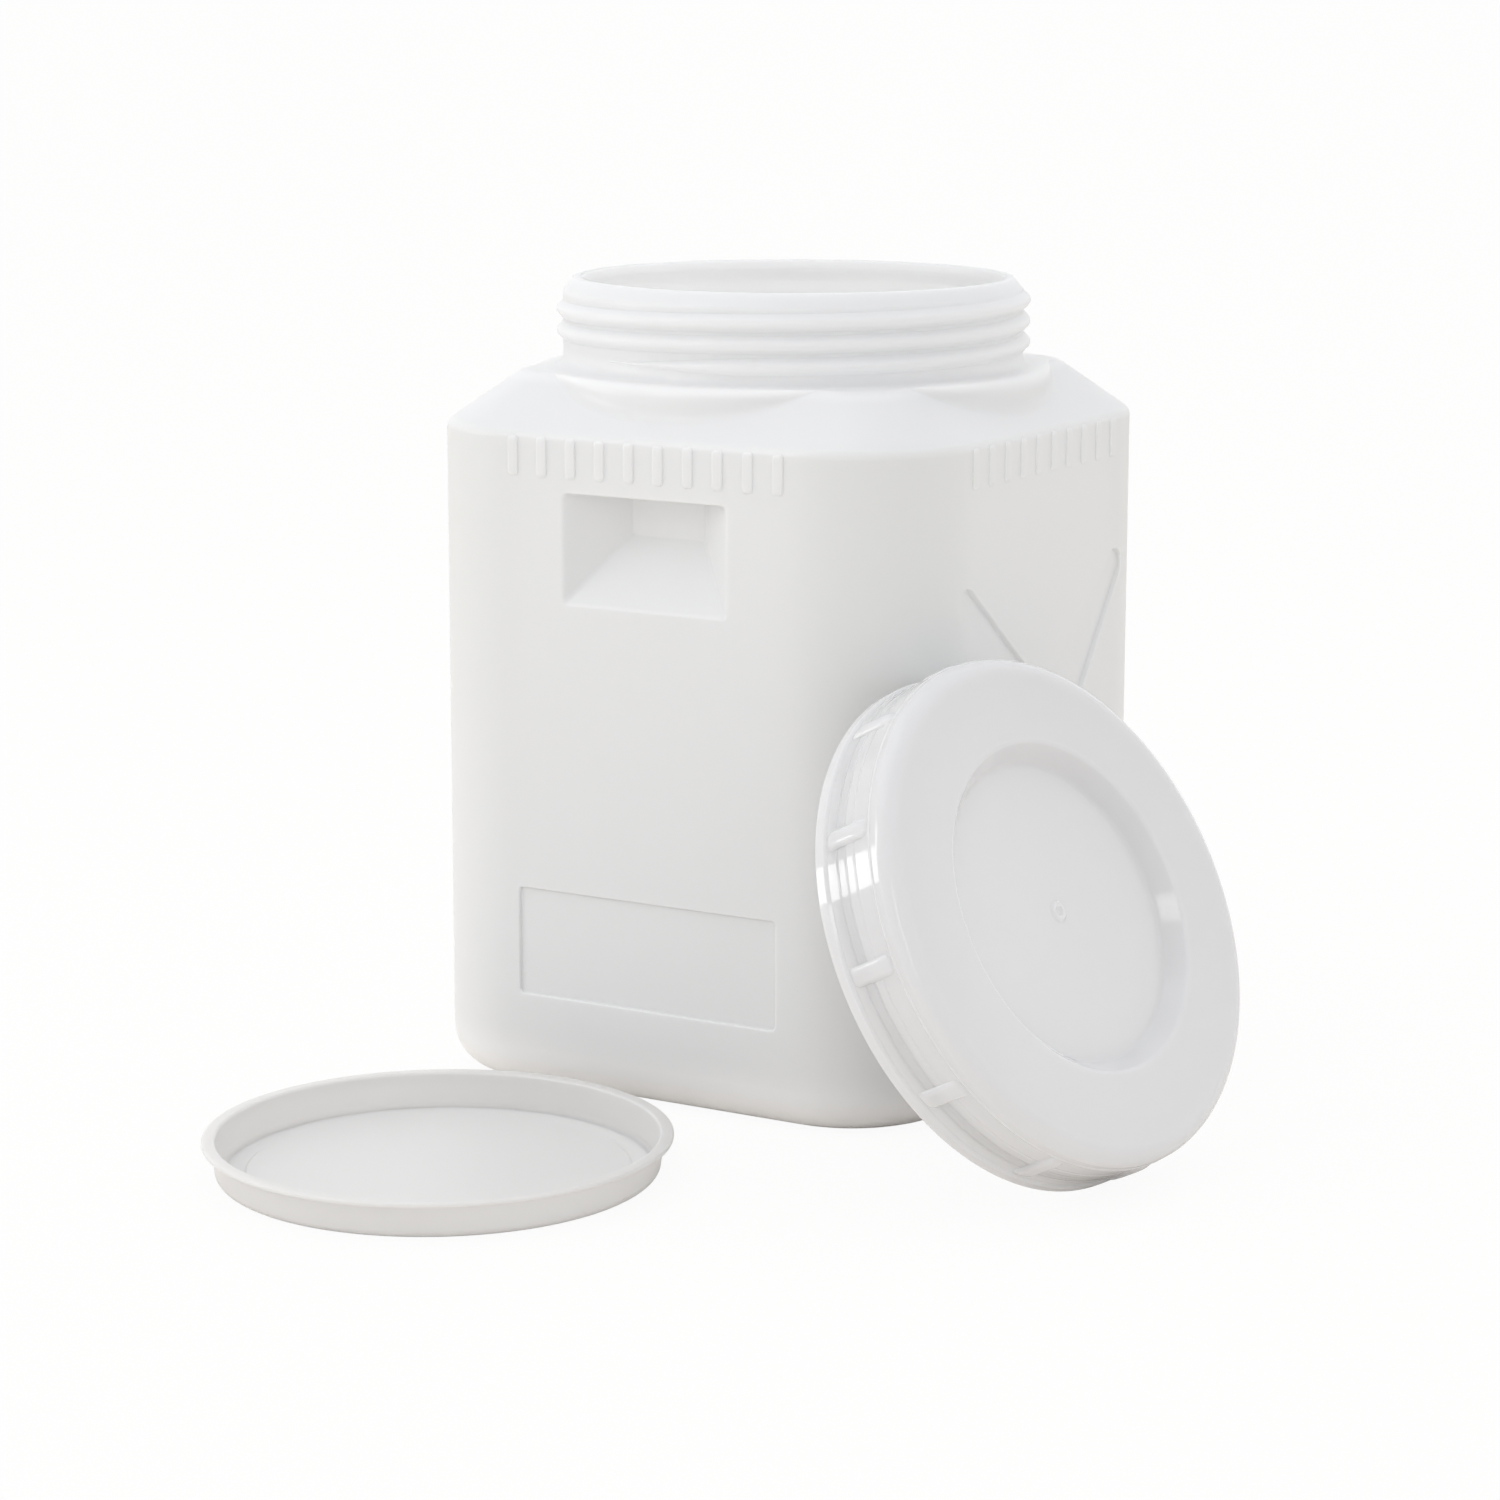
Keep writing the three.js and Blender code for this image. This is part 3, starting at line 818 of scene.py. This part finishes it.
def grip_pocket(grown):
    """Flat ceiling for the fingers, drawn-in sides and a long sloping floor."""
    fall = grip_height - grip_ceiling_fall - grip_back_height
    levels = []
    for depth, change in panel_levels(grip_depth, grip_edge, grip_foot, grown):
        share = min((depth if grown else max(depth, 0)) / grip_depth, 1)
        more = change + grown
        top = grip_top - grip_ceiling_fall * share + more
        bottom = grip_top - grip_height + fall * share - more
        width = grip_width + (grip_back_width - grip_width) * share + 2 * more
        corner = max(grip_corner + (grip_back_corner - grip_corner) * share + more, 0.5)
        levels.append((depth, rounded_box(width / 2, top, bottom, corner)))
    return side_cutter("grip_cutter", levels)


# %% Label panel
label_width = 127
label_height = 46.5
label_bottom = 43.2
label_depth = 1.4
label_edge = 0.7
label_corner = 2
print("label panel", label_width, "x", label_height, "mm")


def label_panel(grown):
    """Shallow panel for a written label, left bare."""
    levels = []
    for depth, change in panel_levels(label_depth, label_edge, label_edge, grown):
        more = change + grown
        top, bottom = label_bottom + label_height + more, label_bottom - more
        levels.append((depth, rounded_box(
            label_width / 2 + more, top, bottom, label_corner + more, 22,
        )))
    return side_cutter("label_cutter", levels)


# %% Cross panel
cross_height = 150
cross_notch = 25
cross_tip = 7.1
cross_depth = 2
cross_edge = 0.4
cross_draft = 1.2
print("cross", cross_depth, "mm deep, middle at", cross_height, "mm")


def cross_outline(change):
    """Four tapering arms with round tips, from a notch to the next."""
    tip = math.hypot(half_flat, half_flat)
    outline = []
    for arm in range(4):
        notch = Matrix.Rotation(arm * math.pi / 2, 2)
        outline.append(notch @ Vector((cross_notch + change, 0)))
        middle = arm * math.pi / 2 + math.pi / 4
        centre = Vector((tip * math.cos(middle), tip * math.sin(middle)))
        for i in range(13):
            angle = middle + (i / 12 - 0.5) * math.pi
            out = Vector((math.cos(angle), math.sin(angle)))
            outline.append(centre + out * (cross_tip + change))
    return [(p.x, p.y + cross_height) for p in outline]


def cross_panel(grown):
    """Cross-shaped panel that stiffens a plain side."""
    levels = []
    for depth, change in panel_levels(cross_depth, cross_edge, cross_edge, grown):
        draft = 0 if grown else -cross_draft * min(max(depth, 0) / cross_depth, 1)
        levels.append((depth, cross_outline(change + draft + grown)))
    return side_cutter("cross_cutter", levels)


# %% All panels
def all_panels(grown):
    """Every sunk panel on its side."""
    grip, cross, label = grip_pocket(grown), cross_panel(grown), label_panel(grown)
    tools = [grip, turned(grip, 180), turned(cross, 90), turned(cross, -90), label]
    bpy.data.objects.remove(cross)
    return tools


# %% [markdown]
# ## Outside of the jar
# The shoulder is four slopes that a round boss cuts, with a soft crease where they meet. Joining a
# cylinder to a box leaves that crease sharp. So the skin is drawn as columns from base to lip, one
# for each point of the rounded square, and each column rounds its own crease.

# %% Plan of the body
def square_ring(half, corner, corner_steps=20, flat_steps=30):
    """Rounded square with points along its flats too, counter-clockwise."""
    points = []
    for quarter, (across, along) in enumerate([(1, 1), (-1, 1), (-1, -1), (1, -1)]):
        centre = Vector((across, along)) * (half - corner)
        for i in range(corner_steps + 1):
            angle = (quarter + i / corner_steps) * math.pi / 2
            points.append(centre + Vector((math.cos(angle), math.sin(angle))) * corner)
        last = points[-1]
        turn = (quarter + 1) * math.pi / 2
        step = Vector((-math.sin(turn), math.cos(turn))) * 2 * (half - corner)
        points += [last + step * i / flat_steps for i in range(1, flat_steps)]
    return points


def inset_at(point):
    """How far a point of the plan lies inside the body's outline."""
    x, y = abs(point.x) - half_flat, abs(point.y) - half_flat
    if x > 0 and y > 0:
        return body_corner - math.hypot(x, y)
    return body_corner - max(x, y)


# %% One column of the shoulder
def bend(before, corner, after, reach, steps):
    """A corner of a path rounded by a short curve."""
    start = corner + (before - corner).normalized() * reach
    end = corner + (after - corner).normalized() * reach
    shares = [i / steps for i in range(steps + 1)]
    return [start.lerp(corner, t).lerp(corner.lerp(end, t), t) for t in shares]


def shoulder_column(outer, low):
    """(radius, height) path over slope, boss and neck foot, in the direction of outer."""
    way = outer.normalized()

    def height(radius):
        return min(wall_height + shoulder_slope * inset_at(way * radius), shoulder_top)

    start = Vector((outer.length, low))
    top = Vector((boss_radius, shoulder_top))
    if height(boss_radius) < shoulder_top - 0.02:
        crease = Vector((boss_radius, height(boss_radius)))
    else:
        near, far = boss_radius, outer.length
        for _ in range(30):
            middle = (near + far) / 2
            near, far = (middle, far) if height(middle) >= shoulder_top else (near, middle)
        crease = Vector((near + 0.02, shoulder_top))
    foot = Vector((neck_radius, shoulder_top))
    wall = (top - crease).length
    reach = min(boss_crease, 0.45 * wall, 0.45 * (start - crease).length)
    path = [start]
    path += bend(start, crease, top, reach, 5)
    path += bend(crease, top, foot, min(boss_edge, 0.5 * wall), 8)
    path += bend(top, foot, foot + Vector((0, 9)), neck_fillet, 6)
    return path


# %% The whole outside
def jar_outside():
    """Closed skin of the jar's outside, up to the lip."""
    edge = rounded([
        (base_rounding + 10, 0, 0), (0, 0, base_rounding),
        (0, wall_height, shoulder_rounding), (shoulder_inset, shoulder_top, 0),
    ], step=8)[:-1]
    rings = []
    for inset, level in edge:
        plan = square_ring(half_body - inset, body_corner - inset)
        rings.append([(p.x, p.y, level) for p in plan])
    outer = [Vector(p[:2]) for p in rings[-1]]
    columns = [shoulder_column(p, rings[-1][0][2])[1:] for p in outer]
    for level in zip(*columns):
        rings.append([(*(p.normalized() * at.x), at.y) for p, at in zip(outer, level)])
    lip = rounded([
        (neck_radius, lip_top - 20, 0), (neck_radius, lip_top - 6, 4),
        (mouth_radius + 4, lip_top, 1.6), (80, lip_top, 0),
    ], step=10)[1:-1]
    for radius, level in lip:
        rings.append([(*(p.normalized() * radius), level) for p in outer])
    return loft("jar_shell", rings)


jar = jar_outside()
measured(jar)

# %% [markdown]
# ## Mouth of the jar
# The neck is bored smooth, and its lip turns in a little, which gives the inner lid a ring to lie
# on. The neck could be drawn with its inside at once, but then the hollow of the body would have
# to meet it. So the bore is turned by itself, reaches through the roof of the hollow, and is
# joined to the hollow before both are taken away.

# %% Bore of the neck
bore_foot = shoulder_top - body_wall - overrun
neck_hole = lathe("neck_hole", rounded([
    (0, bore_foot, 0), (neck_bore, bore_foot, 0), (neck_bore, lip_top - 10, 4),
    (mouth_radius, lip_top - 5, 4), (mouth_radius, lip_top - 0.6, 1),
    (mouth_radius + 0.6, lip_top, 0), (mouth_radius + 0.6, lip_top + overrun, 0),
    (0, lip_top + overrun, 0),
]))
measured(neck_hole)

# %% [markdown]
# ## Thread and ribs of the jar
# The neck carries two and a half turns of thread, and ten short ribs stiffen the top of each side.
# Drawn into the big skin, they would need far more columns. The trees grow them by themselves
# instead, their feet sunk in the wall, so that joining leaves no gap.

# %% Thread of the jar
neck_turns = 2.5
neck_thread_foot = 6.8
neck_thread_start = -110
neck_thread = thread(
    "neck_thread", jar_plastic, neck_radius, neck_turns, shoulder_top + neck_thread_foot,
    neck_thread_start,
)

# %% Ribs of the jar
rib_count = 10
rib_spacing = 14.3
rib_width = 5
rib_height = 0.8
rib_length = 17
rib_drop = 1
rib_sunk = 1
rib_corner = 1.6
rib_dome = 0.8
jar_ribs = grow(
    "jar_ribs", rib_row, jar_plastic, Count=rib_count, Spacing=rib_spacing * mm,
    Width=rib_width * mm, Length=rib_length * mm, Height=(rib_height + rib_sunk) * mm,
    Rounding=rib_corner * mm, Edge=rib_dome * mm, Distance=(half_body - rib_sunk) * mm,
    Middle_height=(wall_height - rib_drop - rib_length / 2) * mm,
)
measured(jar_ribs)

# %% [markdown]
# ## Join and hollow out
# Thread and ribs are joined to the outside, and the panels and the pushed-up middle of the base
# are cut. The hollow is made in the same way and taken away last, which leaves an even wall. The
# points that lie on the hollow's skin then get the mark inside, which the finish reads.

# %% Join the outside and cut the panels
rows = [jar_ribs] + [turned(jar_ribs, a) for a in (90, 180, -90)]
combine(jar, [neck_thread] + rows, "UNION")
push_half = half_body - base_rounding - stand_width
push = loft("push", [
    [(x, y, z) for x, y in rounded([(h, h, c), (-h, h, c), (-h, -h, c), (h, -h, c)], True, 8)]
    for h, c, z in (
        (push_half, 10, -overrun), (push_half, 10, 0), (push_half - push_slope, 5, push_up),
    )
])
combine(jar, [push] + all_panels(0), "DIFFERENCE")
print("outside", len(jar.data.polygons), "faces")

# %% Take the hollow away and mark its faces
hollow = body_form("hollow", body_wall, push_up + body_wall)
combine(hollow, [boss_form("boss_hollow", body_wall), neck_hole], "UNION")
combine(hollow, all_panels(body_wall), "DIFFERENCE")
hollow_skin = BVHTree.FromObject(hollow, bpy.context.evaluated_depsgraph_get())
combine(jar, [hollow], "DIFFERENCE")
smooth_skin(jar, jar_plastic)
inside_mark = jar.data.attributes.new("inside", "FLOAT", "POINT")
for vertex in jar.data.vertices:
    near = hollow_skin.find_nearest(vertex.co, 0.05 * mm)
    inside_mark.data[vertex.index].value = 0.0 if near[0] is None else 1.0
marked = sum(mark.value for mark in inside_mark.data)
print("inside", int(marked), "of", len(jar.data.vertices), "points")
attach(jar, "jar")
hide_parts("jar_body")

# %% [markdown]
# ## The inner lid
# A thin dish whose flange lies on the lip of the jar, with a low step in its floor that keeps it
# flat. A squashed cylinder would have hard edges and one thickness, so the lid's profile is drawn
# once, with the small rounding of each edge, and turned. It is made on the axis and then moved to
# where it lies.

# %% Inner lid
lid_rim = 95
lid_depth = 16
lid_wall = 1.6
lid_rim_thickness = 2
lid_draft = 1.6
lid_clearance = 0.5
lid_step_inset = 11.4
lid_step = 0.8
lid_centre = (-25, -240.5)
lid_wall_top = mouth_radius - lid_clearance
lid_foot = lid_wall_top - lid_draft
lid_flange = lid_depth - lid_rim_thickness
step_foot = lid_foot - lid_step_inset
inner_lid = lathe("inner_lid_dish", rounded([
    (0, 0, 0), (lid_foot, 0, 4), (lid_wall_top, lid_flange, 0.6), (lid_rim, lid_flange, 0.7),
    (lid_rim, lid_depth, 0.9), (lid_wall_top - lid_wall, lid_depth, 1.2),
    (lid_foot - lid_wall, lid_wall, 2.5), (step_foot, lid_wall, 0.8),
    (step_foot - 1, lid_wall + lid_step, 0.8), (0, lid_wall + lid_step, 0),
]), 240)
inner_lid.data.transform(Matrix.Translation(Vector((*lid_centre, 0)) * mm))
measured(inner_lid)
smooth_skin(inner_lid, lid_plastic)
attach(inner_lid, "inner_lid")
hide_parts("inner_lid")

# %% [markdown]
# ## The screw cap
# The cap is moulded in one shot: skirt, flat ring and sunk middle with the gate's mark in its
# centre. Shallow grooves run round the skirt between two beads. Shell, thread, bars and gate are
# made by themselves and joined, because each follows a rule of its own.

# %% Sizes of the cap
cap_inner = 103.8
cap_radius = 107
cap_skirt = 105.8
cap_height = 38
cap_top = 2.4
cap_sink_radius = 68.8
cap_sink_floor = 61.8
cap_sink_depth = 8.5
cap_band = 4.6
cap_bead_level = 28.3
cap_shoulder_level = 31.6
cap_shoulder_inset = 2.2
groove_levels = (11, 15.5, 20)
groove_half_width = 0.8
groove_depth = 0.22
print("cap", 2 * cap_radius, "mm across,", cap_height, "mm high")

# %% Shell of the cap
roof = cap_height - cap_top
sink_floor = cap_height - cap_sink_depth
grooves = []
for level in groove_levels:
    grooves += [
        (cap_skirt, level - groove_half_width, 0.3), (cap_skirt - groove_depth, level, 0.3),
        (cap_skirt, level + groove_half_width, 0.3),
    ]
cap = lathe("cap_shell", rounded([
    (0, sink_floor - cap_top, 0), (cap_sink_floor + 1.2, sink_floor - cap_top, 1.5),
    (cap_sink_radius + cap_top, roof, 1.5), (cap_inner, roof, 9), (cap_inner, 0, 0),
    (cap_radius, 0, 0.8), (cap_radius, cap_band, 0.8), (cap_skirt, cap_band + 1.2, 0.5), *grooves,
    (cap_skirt, cap_bead_level - 0.7, 0.4), (cap_skirt + 0.5, cap_bead_level, 0.4),
    (cap_skirt, cap_bead_level + 0.7, 0.4), (cap_skirt, cap_shoulder_level, 0.7),
    (cap_skirt - cap_shoulder_inset, cap_height, 8.5), (cap_sink_radius, cap_height, 3),
    (cap_sink_floor, sink_floor, 4), (0, sink_floor, 0),
], step=9), 240)
measured(cap)

# %% Thread of the cap
cap_turns = 1.5
cap_thread_foot = 6
cap_thread_start = 40
cap_thread = thread(
    "cap_thread", cap_plastic, cap_inner, cap_turns, cap_thread_foot, cap_thread_start, -1.0,
)

# %% Grip bars
cap_grip_count = 12
cap_grip_width = 9
cap_grip_length = 23
cap_grip_height = 3.1
cap_grip_rounding = 3
cap_grip_sunk = 1.5
cap_grip_level = 16.5
cap_grips = grow(
    "cap_grips", rib_row, cap_plastic, Count=cap_grip_count, Spacing=0.0,
    Width=cap_grip_width * mm, Length=cap_grip_length * mm, Height=cap_grip_height * mm,
    Rounding=cap_grip_rounding * mm, Edge=cap_grip_rounding * mm,
    Distance=(cap_skirt - cap_grip_sunk) * mm, Middle_height=cap_grip_level * mm,
    Ring_step=2 * math.pi / cap_grip_count,
)
measured(cap_grips)

# %% Gate mark, and one solid cap
gate_radius = 4.6
gate = lathe("gate", rounded([
    (0, sink_floor - 1, 0), (gate_radius, sink_floor - 1, 0), (gate_radius, sink_floor, 0),
    (gate_radius - 1, sink_floor + 0.9, 0.7), (2.2, sink_floor + 0.9, 0.5),
    (1.6, sink_floor + 0.1, 0.4), (0, sink_floor + 0.1, 0),
]), 64)
combine(cap, [cap_thread, cap_grips, gate], "UNION")

# %% [markdown]
# ## Lean the cap
# Taken off, the cap stands on the edge of its skirt and leans on the jar's front corner, outer
# face forward. Turning the object would be quicker, but a finished piece keeps its place in its
# mesh, so that the object stays at the origin. The height of its middle follows from the lean.

# %% Lean the cap
cap_lean = 26.6
cap_turn = -8.9
cap_stand = (164.62, -113.7)
tip = Matrix.Rotation(math.radians(cap_turn), 4, "Z")
tip = tip @ Matrix.Rotation(math.radians(90 - cap_lean), 4, "Y")
rest_height = cap_radius * math.cos(math.radians(cap_lean))
cap.data.transform(Matrix.Translation(Vector((*cap_stand, rest_height)) * mm) @ tip)
measured(cap)
smooth_skin(cap, cap_plastic)
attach(cap, "screw_cap")
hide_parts("screw_cap")

# %% [markdown]
# ## The boxes of the solids and of the dressed pieces
# A finer surface must not make the object bigger, so the box of the dressed pieces is printed
# beside the box of the solids.

# %% Both boxes, and the end
dressed_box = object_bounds()
for label, box in (("solids", solid_box), ("dressed", dressed_box)):
    print(label, [[round(1000 * v, 1) for v in corner] for corner in box])
